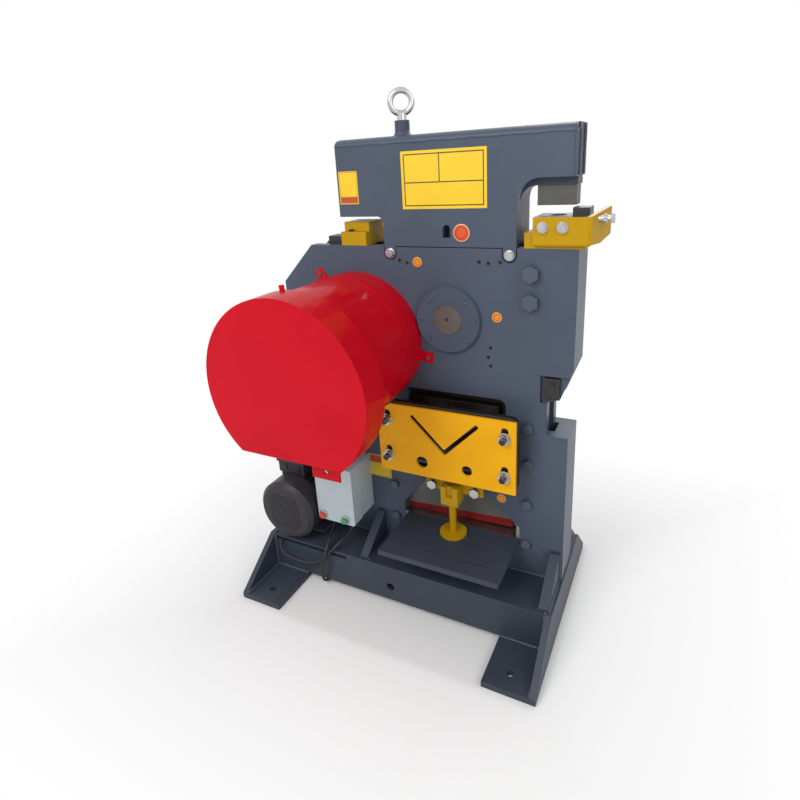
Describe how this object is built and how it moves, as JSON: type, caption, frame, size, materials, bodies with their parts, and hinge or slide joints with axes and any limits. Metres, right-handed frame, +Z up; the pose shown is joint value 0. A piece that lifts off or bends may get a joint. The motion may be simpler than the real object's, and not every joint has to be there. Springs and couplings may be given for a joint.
{
  "type": "ironworker machine",
  "caption": "Mechanical ironworker: a T-shaped ram between two frame plates, driven by an eccentric, with punching, notching, section and plate shearing stations on a welded base.",
  "frame": {"origin": "centre of the four foundation bolt holes, on the floor", "axes": "+X to the right seen from the front, +Y to the rear, +Z up"},
  "size_m": [1.1554, 0.845, 1.665],
  "materials": {
    "frame_paint": "satin blue-grey paint",
    "guard_paint": "gloss red paint",
    "tool_paint": "satin yellow paint",
    "blade_paint": "worn dark red paint",
    "motor_paint": "satin dark grey paint",
    "box_paint": "fine textured light grey paint",
    "zinc_steel": "zinc plated",
    "bare_steel": "machined, lightly oiled",
    "dark_steel": "blackened, oiled",
    "cast_wheel": "as cast, turned rim",
    "bronze": "machined",
    "black_rubber": "matte",
    "black_plastic": "moulded",
    "green_plastic": "moulded",
    "red_plastic": "moulded"
  },
  "bodies": {
    "frame": {"base_frame": "frame_paint", "gussets": "frame_paint", "front_plate": "frame_paint", "rear_plate": "frame_paint", "guide_blocks": "bare_steel", "frame_spacers": "frame_paint", "frame_bolts": "frame_paint", "shear_table": "frame_paint", "lower_blade": "bare_steel", "shaft_bushes": "bronze", "bearing_cap": "frame_paint", "cover_screws": "zinc_steel", "bearing_sleeve": "frame_paint", "v_belts": "black_rubber", "motor_plate": "frame_paint", "motor_frame": "motor_paint", "fan_cover": "motor_paint", "terminal_box": "motor_paint", "guard_drum": "guard_paint", "guard_cap": "guard_paint", "gear_guard": "guard_paint", "belt_guard": "guard_paint", "starter_box": "box_paint", "starter_cover": "box_paint", "contactor": "black_plastic", "cable_glands": "black_plastic", "section_blade": "dark_steel", "section_backing": "dark_steel", "section_studs": "zinc_steel", "hold_down_bracket": "tool_paint", "clamp_bolts": "zinc_steel", "die_base": "tool_paint", "die_block": "dark_steel", "die_bracket": "tool_paint", "notch_die": "tool_paint", "notch_blocks": "dark_steel", "motor_lead": "black_rubber", "supply_lead": "black_rubber", "supply_coil": "black_rubber"},
    "ram": {"ram_slab": "frame_paint", "ram_front_cheek": "frame_paint", "ram_rear_cheek": "frame_paint", "cheek_bolts": "zinc_steel", "lifting_eye": "zinc_steel", "punch_holder": "dark_steel", "upper_blade": "blade_paint"},
    "crank": {"eccentric_shaft": "bare_steel", "bull_gear": "cast_wheel"},
    "crosshead": {"slide_block": "bronze"},
    "drive": {"drive_shaft": "bare_steel", "flywheel": "cast_wheel", "belt_pulley": "cast_wheel"},
    "rotor": {"motor_rotor": "bare_steel", "cooling_fan": "black_plastic", "motor_pulley": "cast_wheel"},
    "section_gate": {"section_plate": "tool_paint"},
    "hold_down": {"hold_down_stem": "tool_paint"},
    "adjuster": {"die_adjuster": "zinc_steel"},
    "start": {"start_button": "green_plastic"},
    "stop": {"stop_button": "red_plastic"}
  },
  "joints": [
    {"name": "ram_slide", "type": "slide", "parent": "frame", "child": "ram", "axis": [0, 0, 1], "range_m": [0, 0.028]},
    {"name": "drive_spin", "type": "hinge", "parent": "frame", "child": "drive", "pos_m": [-0.15684, 0.038, 0.91526], "axis": [0, 1, 0], "continuous": true},
    {"name": "eccentric_spin", "type": "hinge", "parent": "frame", "child": "crank", "pos_m": [0.161, 0.038, 1.004], "axis": [0, 1, 0], "continuous": true},
    {"name": "crosshead_turn", "type": "hinge", "parent": "crank", "child": "crosshead", "pos_m": [0.161, 0.038, 0.99], "axis": [0, 1, 0], "continuous": true},
    {"name": "motor_spin", "type": "hinge", "parent": "frame", "child": "rotor", "pos_m": [-0.428, 0.038, 0.281], "axis": [0, 1, 0], "continuous": true},
    {"name": "section_gate_slide", "type": "slide", "parent": "frame", "child": "section_gate", "axis": [0, 0, 1], "range_m": [-0.022, 0]},
    {"name": "hold_down_slide", "type": "slide", "parent": "frame", "child": "hold_down", "axis": [0, 0, 1], "range_m": [0, 0.06]},
    {"name": "adjuster_slide", "type": "slide", "parent": "frame", "child": "adjuster", "axis": [1, 0, 0], "range_m": [0, 0.015]},
    {"name": "start_press", "type": "slide", "parent": "frame", "child": "start", "axis": [0, 1, 0], "range_m": [0, 0.004], "stiffness_N_per_m": 600},
    {"name": "stop_press", "type": "slide", "parent": "frame", "child": "stop", "axis": [0, 1, 0], "range_m": [0, 0.004], "stiffness_N_per_m": 600}
  ],
  "couplings": [
    {"joint": "eccentric_spin", "follows": "drive_spin", "ratio": -0.19565},
    {"joint": "crosshead_turn", "follows": "drive_spin", "ratio": 0.19565},
    {"joint": "motor_spin", "follows": "drive_spin", "ratio": 4.2708}
  ]
}
